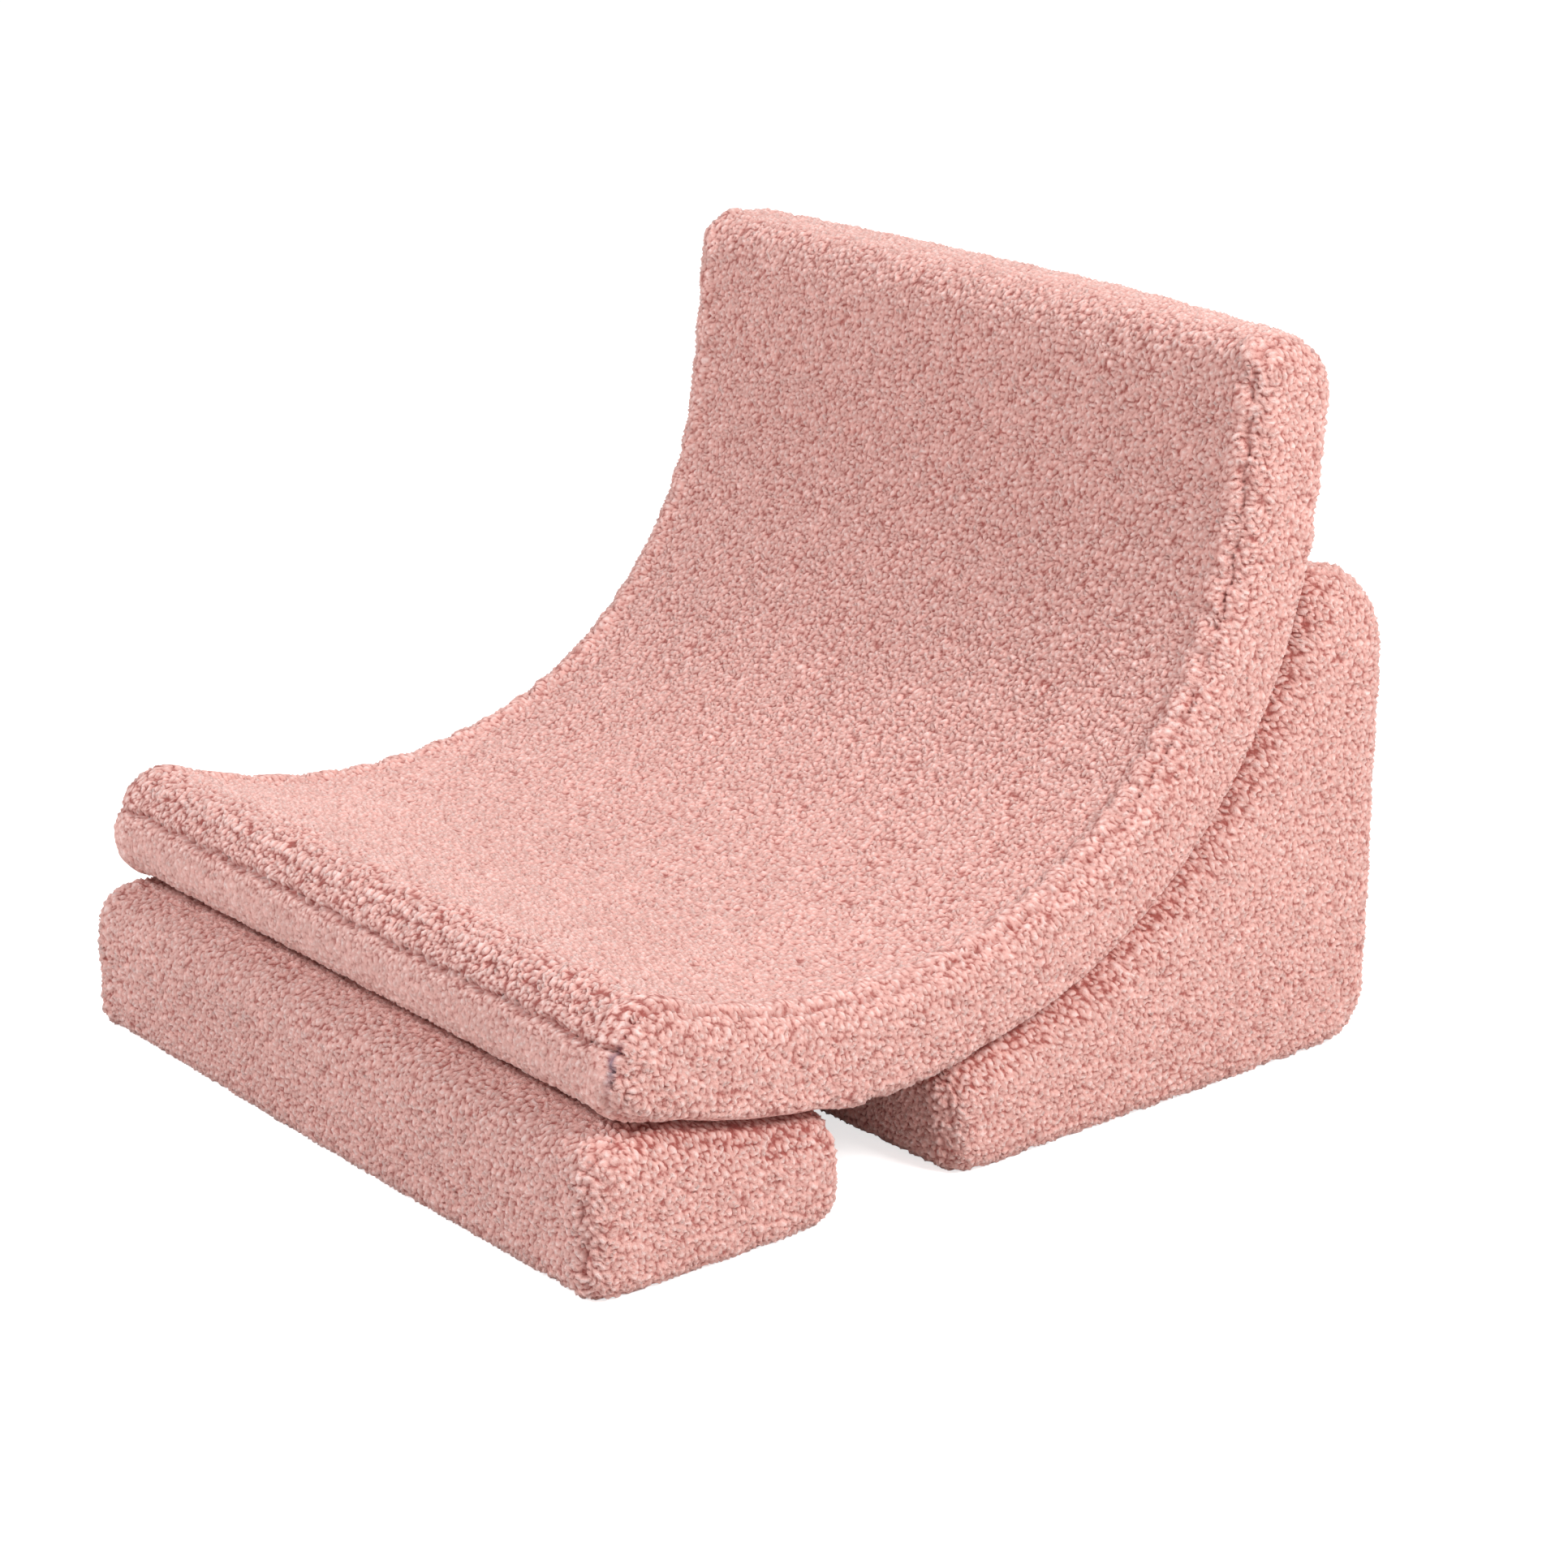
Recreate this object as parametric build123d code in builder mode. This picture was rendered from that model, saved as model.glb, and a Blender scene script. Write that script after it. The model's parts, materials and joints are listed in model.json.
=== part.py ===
from build123d import *
import os
from math import cos, degrees, radians, sin, sqrt

# Low foam armchair for small children: a bent slab that is seat and back in one, laid on a front
# block and a back wedge. Each of the three is a foam core in a zipped cover of curly pile fabric.
# Millimetres, +Z up, front towards -Y, left at -X, origin on the floor under the chair's middle.

# Whole chair
overall_width = 600
rest_gap = 0.3  # between the seat and the two blocks that carry it

# Seat slab: side view of three tangent arcs, with slopes in degrees from level
seat_thickness = 70
seat_low_height = 75.5  # underside above the floor along its lowest line
seat_low_setback = 232.5  # that line behind the front of the chair
front_radius = 426  # sitting face, from the nose to the bend
bend_radius = 276
back_radius = 818
nose_slope = -26.5
bend_start_slope = 14.5
bend_end_slope = 80
top_slope = 90
seat_corner = 24

# Front block
block_depth = 197.5
block_height = 101
block_toe_corner = 14
block_front_corner = 24
block_back_corner = 24

# Back wedge
wedge_depth = 395
wedge_height = 351
wedge_top_width = 80
wedge_toe_corner = 14
wedge_lip_corner = 30
wedge_edge_corner = 12
wedge_top_corner = 60
wedge_heel_corner = 40

# Cover of pile fabric
cover_thickness = 9
foam_gap = 0.2  # all round the foam core
crown = 3  # free faces stand higher in the middle than at the side seams
side_bulge = 10  # side panel outwards of its seam
side_form = [(0, 3), (0.25, 0.6), (0.5, 1), (0.8, 5), (1, 12)]  # share of the bulge, and skin
channel_width = 4  # sewn channel along each side seam
channel_depth = 2.5
cross_channel_width = 5  # sewn channel across the nose and behind the top
cross_channel_depth = 3
base_cut = 0.5  # the rounded form is cut flat this deep where it stands on the floor
smallest_corner = 2

# Zips
zip_opening = 500
zip_opening_width = 13
block_zip_height = 36
wedge_zip_height = 60
hem_length = 5  # tape beyond each end of the opening
hem_clearance = 0.1
tape_outer = 14  # from the middle of the zip
tape_inner = 0.9
tape_thickness = 0.8
tape_depth = 4.8  # face of the tape below the surface of the cover
coil_outer = 3.2  # from the middle of the zip
coil_inner = 0.7
coil_height = 2
coil_setback = 9  # from the end of the opening to the end of the coil
stop_length = 3
slider_length = 12
slider_width = 9.2
slider_corner = 2.5
slider_plate = 1.2
slider_clearance = 0.6  # over the coil, and either side of the tape
slider_flange = 0.8
slider_post_length = 4
slider_post_width = 0.9

os.makedirs("parts", exist_ok=True)


def finish(piece, name):
    """Labels the finished piece and writes its file."""
    piece.part.label = name
    export_step(piece.part, f"parts/{name}.step")


# Side views have depth as X and height as Y. These centres have the seat's lowest line at X = 0.
def heading(slope):
    """The way that runs up the seat at this slope."""
    return Vector(cos(radians(slope)), sin(radians(slope)))


def outwards(slope):
    """The way from an arc's centre to its point of this slope."""
    return Vector(sin(radians(slope)), -cos(radians(slope)))


front_centre = Vector(0, seat_low_height + seat_thickness + front_radius)
bend_centre = front_centre + outwards(bend_start_slope) * (front_radius - bend_radius)
back_centre = bend_centre + outwards(bend_end_slope) * (bend_radius - back_radius)


def rear_face(height):
    """How far the seat's rear face is behind its lowest line at this height."""
    radius = bend_radius + seat_thickness
    centre = bend_centre
    if height > (bend_centre + outwards(bend_end_slope) * radius).Y:
        radius = back_radius + seat_thickness
        centre = back_centre
    return centre.X + sqrt((radius + rest_gap) ** 2 - (centre.Y - height) ** 2)


overall_depth = seat_low_setback + rear_face(wedge_height) + wedge_top_width
seat_low_y = seat_low_setback - overall_depth / 2
block_front = -overall_depth / 2
block_back = block_front + block_depth
wedge_back = overall_depth / 2
wedge_toe = wedge_back - wedge_depth
seam_x = overall_width / 2 - side_bulge
reach = 2 * (overall_depth + wedge_height)  # well past the chair
past_nose = 45  # degrees of underside beyond the nose, to cut the block's hollow
print(f"chair {overall_width} x {overall_depth:.1f}, seat top {back_centre.Y:.1f}")


def seat_arcs(level, start, end):
    """The seat's three arcs, `level` behind its sitting face, between two slopes."""
    shift = Vector(seat_low_y, 0)
    bends = [
        (front_centre, front_radius, start, bend_start_slope),
        (bend_centre, bend_radius, bend_start_slope, bend_end_slope),
        (back_centre, back_radius, bend_end_slope, end),
    ]
    return [CenterArc(c + shift, r + level, low - 90, high - low) for c, r, low, high in bends]


def rounding(radius, skin):
    """A corner's radius once its faces have moved in by `skin`."""
    return max(radius - skin, smallest_corner)


def round_corner(sketch, place, radius):
    """Rounds the sketch's corner that is nearest to the place."""
    fillet(sketch.vertices().sort_by_distance(place)[0], radius)


# Outlines are `skin` under the cover's surface, and their free faces are `drawn` in further
def seat_outline(skin, drawn=0):
    """Side view of the seat slab. Its rear face is straight from side to side."""
    inset = skin + drawn
    start = nose_slope + degrees(inset / (front_radius + seat_thickness / 2))
    end = top_slope - degrees(inset / (back_radius + seat_thickness / 2))
    with BuildSketch() as outline:
        with BuildLine():
            near = seat_arcs(inset, start, end)
            far = seat_arcs(seat_thickness - skin, start, end)
            nose = Line(near[0] @ 0, far[0] @ 0)
            top = Line(near[2] @ 1, far[2] @ 1)
        make_face()
        for place in (nose @ 0, nose @ 1, top @ 0, top @ 1):
            round_corner(outline, place, rounding(seat_corner, inset))
    return outline.sketch


def above_underside(growth):
    """Side view of all that lies above the seat's underside, grown by `growth`."""
    with BuildSketch() as space:
        with BuildLine():
            arcs = seat_arcs(seat_thickness + growth, nose_slope - past_nose, top_slope)
            front, rear = arcs[0] @ 0, arcs[2] @ 1
            Polyline(rear, (rear.X, reach), (front.X, reach), front)
        make_face()
    return space.sketch


def block_outline(skin, drawn=0):
    """Side view of the front block, hollowed where the seat lies on it."""
    front, back = block_front + skin + drawn, block_back - skin
    base, top = skin - base_cut, block_height - skin
    with BuildSketch() as outline:
        with BuildLine():
            Polyline((front, base), (back, base), (back, top), (front, top), close=True)
        make_face()
        add(above_underside(rest_gap + skin), mode=Mode.SUBTRACT)
        round_corner(outline, (front, base), rounding(block_toe_corner, skin))
        round_corner(outline, (front, top), rounding(block_front_corner, skin))
        round_corner(outline, (back, base), rounding(block_back_corner, skin))
        round_corner(outline, (back, top), rounding(block_back_corner, skin))
    return outline.sketch


def wedge_outline(skin, drawn=0):
    """Side view of the back wedge, hollowed where the seat lies against it."""
    inset = skin + drawn
    toe, back = wedge_toe + inset, wedge_back - skin
    base, top = skin - base_cut, wedge_height - inset
    edge = seat_low_y + rear_face(top) + skin
    with BuildSketch() as outline:
        with BuildLine():
            Polyline((toe, base), (back, base), (back, top), (toe, top), close=True)
        make_face()
        add(above_underside(rest_gap + skin), mode=Mode.SUBTRACT)
        round_corner(outline, (toe, base), rounding(wedge_toe_corner, skin))
        round_corner(outline, (toe, seat_low_height), rounding(wedge_lip_corner, inset))
        round_corner(outline, (edge, top), rounding(wedge_edge_corner, inset))
        round_corner(outline, (back, top), rounding(wedge_top_corner, inset))
        round_corner(outline, (back, base), rounding(wedge_heel_corner, skin))
    return outline.sketch


def lofted(outline, stations, ruled):
    """A solid through the outline at each station, which gives x, skin and drawn."""
    with BuildPart() as solid:
        for x, skin, drawn in stations:
            with BuildSketch(Plane.YZ.offset(x)):
                add(outline(skin, drawn))
        loft(ruled=ruled)
    return solid.part


def prism(side_view, half_width=overall_width):
    """The side view carried across the chair, to this far either side of its middle."""
    with BuildPart() as solid:
        with BuildSketch(Plane.YZ):
            add(side_view)
        extrude(amount=half_width, both=True)
    return solid.part


def band(outline):
    """The hollow cover between its side seams: crowned, and drawn in along each seam."""
    edge = seam_x - channel_width
    with BuildPart() as solid:
        add(lofted(outline, [(-edge, 0, crown), (0, 0, 0), (edge, 0, crown)], ruled=False))
        for side in (-1, 1):
            ends = [(side * edge, 0, crown), (side * seam_x, channel_depth, crown)]
            add(lofted(outline, ends, ruled=True))
        add(prism(outline(cover_thickness)), mode=Mode.SUBTRACT)
    return solid.part


def base_region(front, height):
    """Side view of what a base panel covers: below this height, and behind the toe's corner."""
    with BuildSketch() as region:
        with BuildLine():
            corner = (front + height, height)
            behind, ahead = (reach, height), (front - reach, -reach)
            Polyline(corner, behind, (reach, -reach), ahead, close=True)
        make_face()
    return region.sketch


def sewn_channel(point, outward):
    """Side view of the groove that a seam across the cover leaves at this point."""
    across = Vector(-outward.Y, outward.X) * cross_channel_width
    rim = point + outward * cross_channel_depth
    with BuildSketch() as groove:
        with BuildLine():
            Polyline(point - outward * cross_channel_depth, rim + across, rim - across, close=True)
        make_face()
    return groove.sketch


# Zips are built on a plane whose X runs across the chair and whose Z points out of the cover
def bar(plane, across, along, depths):
    """A bar by its ranges across the chair, along the cover and below its surface."""
    with BuildPart() as solid:
        with BuildSketch(plane.offset(-depths[1])):
            with Locations((sum(across) / 2, sum(along) / 2)):
                Rectangle(abs(across[1] - across[0]), abs(along[1] - along[0]))
        extrude(amount=depths[1] - depths[0])
    return solid.part


def zip_room(plane):
    """What a zip needs of its cover: the opening, and a slit in each hem for the tape."""
    half, wide = zip_opening / 2, zip_opening_width / 2
    hem, outer = half + hem_length + hem_clearance, tape_outer + hem_clearance
    tape = (tape_depth - hem_clearance, tape_depth + tape_thickness + hem_clearance)
    with BuildPart() as room:
        add(bar(plane, (-half, half), (-wide, wide), (-cover_thickness, cover_thickness)))
        add(bar(plane, (-hem, hem), (-outer, outer), tape))
    return room.part


def make_zip(element, plane, sides):
    """A closed zip: two tapes, two coil rows, end stops and the slider at its closed end."""
    hem, end = zip_opening / 2 + hem_length, zip_opening / 2 - coil_setback
    coil_depth = tape_depth - coil_height
    for side, word in zip((1, -1), sides):
        with BuildPart() as tape:
            along = (side * tape_inner, side * tape_outer)
            add(bar(plane, (-hem, hem), along, (tape_depth, tape_depth + tape_thickness)))
        finish(tape, f"{element}_zip_tape_{word}")

        with BuildPart() as coil:
            along = (side * coil_inner, side * coil_outer)
            add(bar(plane, (-end, end), along, (coil_depth, tape_depth)))
        finish(coil, f"{element}_zip_coil_{word}")

    with BuildPart() as end_stops:
        add(bar(plane, (-end - stop_length, -end), (-coil_outer, coil_outer), (coil_depth, tape_depth)))
        for side in (1, -1):
            along = (side * tape_inner, side * coil_outer)
            add(bar(plane, (end, end + stop_length), along, (coil_depth, tape_depth)))
    finish(end_stops, f"{element}_zip_end_stops")

    half = slider_width / 2
    length = (end - slider_length, end)
    face = coil_depth - slider_clearance
    back = tape_depth + tape_thickness + slider_clearance
    with BuildPart() as slider:
        add(bar(plane, length, (-half, half), (face - slider_plate, face)))
        add(bar(plane, length, (-half, half), (back, back + slider_plate)))
        fillet(slider.edges().filter_by(Axis(plane.origin, plane.z_dir)), slider_corner)
        rails = (end - slider_length + slider_corner, end - slider_corner)
        for side in (1, -1):
            along = (side * (half - slider_flange), side * half)
            add(bar(plane, rails, along, (face, tape_depth - slider_clearance)))
        post = (end - slider_post_length, end)
        add(bar(plane, post, (-slider_post_width / 2, slider_post_width / 2), (face, back)))
    finish(slider, f"{element}_zip_slider")


def make_core_and_sides(element, outline):
    """The foam core and the two crowned side panels of one element."""
    with BuildPart() as foam_core:
        add(prism(outline(cover_thickness + foam_gap), seam_x - foam_gap))
    finish(foam_core, f"{element}_foam_core")

    for side, word in ((-1, "left"), (1, "right")):
        with BuildPart() as side_panel:
            places = [(side * (seam_x + share * side_bulge), skin) for share, skin in side_form]
            add(lofted(outline, [(x, skin, crown) for x, skin in places], ruled=True))
        finish(side_panel, f"{element}_side_panel_{word}")


# Seat slab
make_core_and_sides("seat", seat_outline)

seat_zip = Plane((0, seat_low_y, seat_low_height), x_dir=(1, 0, 0), z_dir=(0, 0, -1))
make_zip("seat", seat_zip, ("front", "rear"))

middle = seat_thickness / 2
top_seam_slope = top_slope - degrees(middle / (back_radius + middle))
nose_outward = heading(nose_slope) * -1
rear_corner_outward = (heading(top_slope) + outwards(top_slope)).normalized()
with BuildSketch() as sitting_side:
    with BuildLine():
        seams = seat_arcs(middle, nose_slope, top_seam_slope)
        nose_seam, core_end = seams[0] @ 0, seams[2] @ 1
        nose_far, top_far = nose_seam + nose_outward * reach, core_end + rear_corner_outward * reach
        Polyline(core_end, top_far, (nose_far.X, top_far.Y), nose_far, nose_seam)
    make_face()
top_seam = core_end + rear_corner_outward * ((middle - seat_corner) * sqrt(2) + seat_corner)

with BuildPart() as seat_band:
    add(band(seat_outline))
    add(prism(sewn_channel(nose_seam, nose_outward)), mode=Mode.SUBTRACT)
    add(prism(sewn_channel(top_seam, rear_corner_outward)), mode=Mode.SUBTRACT)

with BuildPart() as seat_inner_panel:
    add(seat_band.part)
    add(prism(sitting_side.sketch), mode=Mode.INTERSECT)
finish(seat_inner_panel, "seat_inner_panel")

for word, keep in (("underside", Keep.TOP), ("rear", Keep.BOTTOM)):
    with BuildPart() as seat_outer_panel:
        add(seat_band.part)
        add(prism(sitting_side.sketch), mode=Mode.SUBTRACT)
        split(bisect_by=Plane.XZ.offset(-seat_low_y), keep=keep)
        add(zip_room(seat_zip), mode=Mode.SUBTRACT)
    finish(seat_outer_panel, f"seat_{word}_panel")

# Front block and back wedge
blocks = [
    ("front_block", block_outline, block_front, block_back, block_zip_height),
    ("back_wedge", wedge_outline, wedge_toe, wedge_back, wedge_zip_height),
]
for element, outline, front, back, zip_height in blocks:
    make_core_and_sides(element, outline)

    zip_plane = Plane((0, back, zip_height), x_dir=(1, 0, 0), z_dir=(0, 1, 0))
    make_zip(element, zip_plane, ("lower", "upper"))

    for word, mode in (("wrap", Mode.SUBTRACT), ("base", Mode.INTERSECT)):
        with BuildPart() as panel:
            add(band(outline))
            add(prism(base_region(front, zip_height)), mode=mode)
            add(zip_room(zip_plane), mode=Mode.SUBTRACT)
            split(bisect_by=Plane.XY, keep=Keep.TOP)
        finish(panel, f"{element}_{word}_panel")
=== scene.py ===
"""Low foam chair for small children: a bent seat slab on a front block and a back wedge.

Each of the three is a foam core in a zipped cover of curly pile. Metres, +Z up, front towards -Y,
origin on the floor under the chair's middle.
"""

import json
import logging
import math
from dataclasses import dataclass
from enum import Enum
from typing import Callable, Sequence

import bmesh
import bpy
import numpy as np
from mathutils import Matrix, Vector
from mathutils.bvhtree import BVHTree

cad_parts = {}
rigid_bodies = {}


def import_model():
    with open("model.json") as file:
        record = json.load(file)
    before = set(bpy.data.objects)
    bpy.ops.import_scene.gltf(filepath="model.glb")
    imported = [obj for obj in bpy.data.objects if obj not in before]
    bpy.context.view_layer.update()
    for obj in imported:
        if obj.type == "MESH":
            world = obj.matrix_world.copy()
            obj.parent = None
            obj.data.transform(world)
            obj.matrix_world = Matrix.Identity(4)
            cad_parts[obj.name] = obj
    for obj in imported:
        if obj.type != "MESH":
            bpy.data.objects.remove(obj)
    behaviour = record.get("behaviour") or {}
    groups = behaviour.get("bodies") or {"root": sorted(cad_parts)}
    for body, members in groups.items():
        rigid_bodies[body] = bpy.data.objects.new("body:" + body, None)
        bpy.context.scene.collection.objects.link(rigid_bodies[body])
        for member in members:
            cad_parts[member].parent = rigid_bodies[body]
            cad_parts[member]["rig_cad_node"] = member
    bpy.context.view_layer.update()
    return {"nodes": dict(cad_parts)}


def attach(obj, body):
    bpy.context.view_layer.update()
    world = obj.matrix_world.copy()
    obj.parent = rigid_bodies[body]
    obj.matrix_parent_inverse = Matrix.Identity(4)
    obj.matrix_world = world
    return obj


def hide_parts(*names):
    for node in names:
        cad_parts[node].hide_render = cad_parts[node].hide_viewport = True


logging.basicConfig(level=logging.INFO, format="%(message)s")
log = logging.getLogger("chair")

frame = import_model()

SEED = 11
Triple = tuple[float, float, float]


# Small helpers


def linear(red: int, green: int, blue: int) -> tuple[float, float, float, float]:
    """A colour read as 0 to 255 screen values, in the shader's linear values.

    Args:
        red: Its red.
        green: Its green.
        blue: Its blue.

    Returns:
        The colour with a full alpha.
    """

    def one(value: int) -> float:
        """One channel."""
        share = value / 255
        return share / 12.92 if share <= 0.04045 else ((share + 0.055) / 1.055) ** 2.4

    return one(red), one(green), one(blue), 1.0


def ramp(values: np.ndarray, low: float, high: float) -> np.ndarray:
    """A smooth step from 0 at low to 1 at high."""
    share = np.clip((values - low) / (high - low), 0, 1)
    return share * share * (3 - 2 * share)


def hill(away: np.ndarray, width: float) -> np.ndarray:
    """A smooth hill over a distance: 1 at 0, and next to 0 at twice its width."""
    return np.exp(-((away / width) ** 2))


def new_object(name: str, data: bpy.types.ID) -> bpy.types.Object:
    """Links a new object into the scene.

    Args:
        name: Name of the object.
        data: Its mesh, lamp or camera.

    Returns:
        The object.
    """
    made = bpy.data.objects.new(name, data)
    bpy.context.scene.collection.objects.link(made)
    return made


def object_from(name: str, bm: bmesh.types.BMesh) -> bpy.types.Object:
    """Turns a bmesh into a linked object with smooth shading.

    Args:
        name: Name of the piece.
        bm: The finished bmesh, which is freed.

    Returns:
        The new object.
    """
    mesh = bpy.data.meshes.new(name)
    for face in bm.faces:
        face.smooth = True
    bm.to_mesh(mesh)
    bm.free()
    return new_object(name, mesh)


def applied(made: bpy.types.Object) -> bpy.types.Object:
    """Applies all of a piece's modifiers to its mesh.

    Args:
        made: The piece.

    Returns:
        The same piece.
    """
    graph = bpy.context.evaluated_depsgraph_get()
    mesh = bpy.data.meshes.new_from_object(made.evaluated_get(graph))
    made.modifiers.clear()
    old, made.data = made.data, mesh
    bpy.data.meshes.remove(old)
    mesh.name = made.name
    return made


def evenly_faced(made: bpy.types.Object, size: float) -> bpy.types.Object:
    """Gives a closed piece even faces of one size.

    Args:
        made: The piece.
        size: Width of a face.

    Returns:
        The same piece.
    """
    remesh = made.modifiers.new("even", "REMESH")
    remesh.mode = "VOXEL"
    remesh.voxel_size = size
    remesh.use_smooth_shade = True
    return applied(made)


def triples(items: bpy.types.bpy_prop_collection, name: str) -> np.ndarray:
    """Reads a property of three numbers, of all vertices or faces.

    Args:
        items: The vertices or faces.
        name: The property.

    Returns:
        One row for each item.
    """
    found = np.empty(len(items) * 3, np.float32)
    items.foreach_get(name, found)
    return found.reshape(-1, 3)


def move_points(mesh: bpy.types.Mesh, points: np.ndarray) -> None:
    """Gives a mesh's points new places."""
    mesh.vertices.foreach_set("co", points.astype(np.float32).ravel())
    mesh.update()


def store(mesh: bpy.types.Mesh, name: str, values: np.ndarray) -> None:
    """Keeps one number per vertex as a mesh attribute."""
    layer = mesh.attributes.new(name, "FLOAT", "POINT")
    layer.data.foreach_set("value", values.astype(np.float32))


def merged_copy(nodes: Sequence[str]) -> bmesh.types.BMesh:
    """A merged copy of some CAD nodes.

    Args:
        nodes: Names of the nodes.

    Returns:
        One bmesh that holds them all.
    """
    bm = bmesh.new()
    for node in nodes:
        bm.from_mesh(frame["nodes"][node].data)
    bmesh.ops.remove_doubles(bm, verts=bm.verts, dist=2e-6)
    return bm


def block_at(bm: bmesh.types.BMesh, low: Triple, high: Triple) -> list[bmesh.types.BMVert]:
    """Adds a box between two corners.

    Args:
        bm: The bmesh it is added to.
        low: Its lowest corner.
        high: Its highest corner.

    Returns:
        Its vertices.
    """
    middle = [(a + b) / 2 for a, b in zip(low, high)]
    size = [b - a for a, b in zip(low, high)]
    matrix = Matrix.Translation(middle) @ Matrix.Diagonal((*size, 1))
    return bmesh.ops.create_cube(bm, size=1, matrix=matrix)["verts"]


def bevel_edges(bm: bmesh.types.BMesh, edges: Sequence, width: float, segments: int = 2) -> None:
    """Rounds some edges of a bmesh.

    Args:
        bm: The bmesh.
        edges: Its edges to round.
        width: How far the rounding reaches from each edge.
        segments: How many faces it has across.
    """
    bmesh.ops.bevel(
        bm,
        geom=list(edges),
        offset=width,
        offset_type="OFFSET",
        segments=segments,
        profile=0.5,
        affect="EDGES",
        material=-1,
        clamp_overlap=True,
    )


# Shader node groups


class Tree:
    """A node tree with a short way to add nodes and join them."""

    def __init__(self, tree: bpy.types.NodeTree) -> None:
        """Keeps the tree."""
        self.tree = tree

    def add(self, kind: str, inputs: dict | None = None, **settings: object) -> bpy.types.Node:
        """Adds a node.

        Args:
            kind: The node's type without the ShaderNode prefix.
            inputs: A value, or the socket that feeds it, by input name or number.
            **settings: The node's own properties.

        Returns:
            The node.
        """
        node = self.tree.nodes.new("ShaderNode" + kind)
        for name, value in settings.items():
            setattr(node, name, value)
        self.feed(node, inputs or {})
        return node

    def feed(self, node: bpy.types.Node, inputs: dict) -> None:
        """Sets or joins a node's inputs.

        Args:
            node: The node.
            inputs: A value, or the socket that feeds it, by input name or number.
        """
        for name, value in inputs.items():
            if isinstance(value, bpy.types.NodeSocket):
                self.tree.links.new(value, node.inputs[name])
            else:
                node.inputs[name].default_value = value

    def place(self) -> bpy.types.NodeSocket:
        """The point that is shaded, in the object's own metres."""
        return self.add("TexCoord").outputs["Object"]

    def math(self, operation: str, *values: object) -> bpy.types.NodeSocket:
        """One step of arithmetic on values or sockets."""
        return self.add("Math", dict(enumerate(values)), operation=operation).outputs[0]

    def mix(self, share: object, first: object, second: object) -> bpy.types.NodeSocket:
        """A mix of two colours by a share."""
        node = self.add("Mix", {0: share, 6: first, 7: second}, data_type="RGBA")
        return node.outputs[2]

    def stretch(self, value: object, low: float, high: float) -> bpy.types.NodeSocket:
        """A smooth 0 to 1 between two levels of a value."""
        levels = {"Value": value, "From Min": low, "From Max": high}
        return self.add("MapRange", levels, interpolation_type="SMOOTHSTEP").outputs["Result"]

    def noise(self, place: object, scale: float, detail: float = 2) -> bpy.types.NodeSocket:
        """Cloudy values over a place."""
        node = self.add("TexNoise", {"Vector": place, "Scale": scale, "Detail": detail})
        return node.outputs["Fac"]

    def seen_directly(self) -> bpy.types.NodeSocket:
        """1 for camera, glossy and transmission rays, 0 for rays that only carry light.

        Returns:
            The mask.
        """
        ray = self.add("LightPath").outputs
        looks = self.math("MAXIMUM", ray["Is Camera Ray"], ray["Is Glossy Ray"])
        return self.math("MAXIMUM", looks, ray["Is Transmission Ray"])


def shader_group(
    name: str, takes: dict[str, tuple[str, object]], gives: dict[str, str]
) -> tuple[Tree, bpy.types.bpy_prop_collection, bpy.types.Node]:
    """Starts a shader node group.

    Args:
        name: Name of the group.
        takes: Kind of socket and default value of each input.
        gives: Kind of socket of each output.

    Returns:
        A Tree on the group, the sockets that it is given, and its output node.
    """
    group = bpy.data.node_groups.new(name, "ShaderNodeTree")
    for socket, (kind, value) in takes.items():
        made = group.interface.new_socket(socket, in_out="INPUT", socket_type="NodeSocket" + kind)
        if value is not None:
            made.default_value = value
    for socket, kind in gives.items():
        group.interface.new_socket(socket, in_out="OUTPUT", socket_type="NodeSocket" + kind)
    given = group.nodes.new("NodeGroupInput").outputs
    return Tree(group), given, group.nodes.new("NodeGroupOutput")


def curl_group() -> bpy.types.NodeTree:
    """Colour and fine relief of curly pile, from the height of each curl, with painted shade between the
    curls and along seams and a painted highlight at their tips.

    Returns:
        The group.
    """
    tree, given, leaving = shader_group(
        "curly_pile",
        {
            "Place": ("Vector", None),
            "Height": ("Float", 0.5),
            "Tuft": ("Float", 0.5),
            "Seam": ("Float", 0.0),
            "Deep": ("Color", (0.3, 0.1, 0.1, 1)),
            "Body": ("Color", (0.7, 0.4, 0.4, 1)),
            "Tip": ("Color", (0.9, 0.6, 0.6, 1)),
        },
        {"Colour": "Color", "Relief": "Float"},
    )
    place, height = given["Place"], given["Height"]
    loops = tree.noise(place, scale=480)
    strands = tree.noise(place, scale=1500, detail=1)
    raised = tree.math("ADD", height, tree.math("MULTIPLY", tree.math("SUBTRACT", loops, 0.5), 0.5))
    # Painted shade: the low parts between the curls take the shade colour
    body = tree.mix(tree.stretch(raised, low=-0.02, high=0.42), given["Deep"], given["Body"])
    # Painted highlight: the curls' tips take a paler colour
    lit = tree.mix(tree.stretch(raised, low=0.4, high=0.9), body, given["Tip"])
    shade = tree.math("MULTIPLY_ADD", given["Tuft"], 0.16, 0.92)
    cloud = tree.math("MULTIPLY_ADD", tree.noise(place, scale=9), 0.1, 0.95)
    toned = tree.add("HueSaturation", {"Value": tree.math("MULTIPLY", shade, cloud), "Color": lit})
    # Painted shade: seam grooves, the zip's slot and the creases by the neighbours take the shade colour
    with_painted_shade = tree.mix(given["Seam"], toned.outputs[0], given["Deep"])
    fine = tree.math("MULTIPLY_ADD", strands, 0.4, loops)
    tree.feed(leaving, {"Colour": with_painted_shade, "Relief": fine})
    return tree.tree


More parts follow.
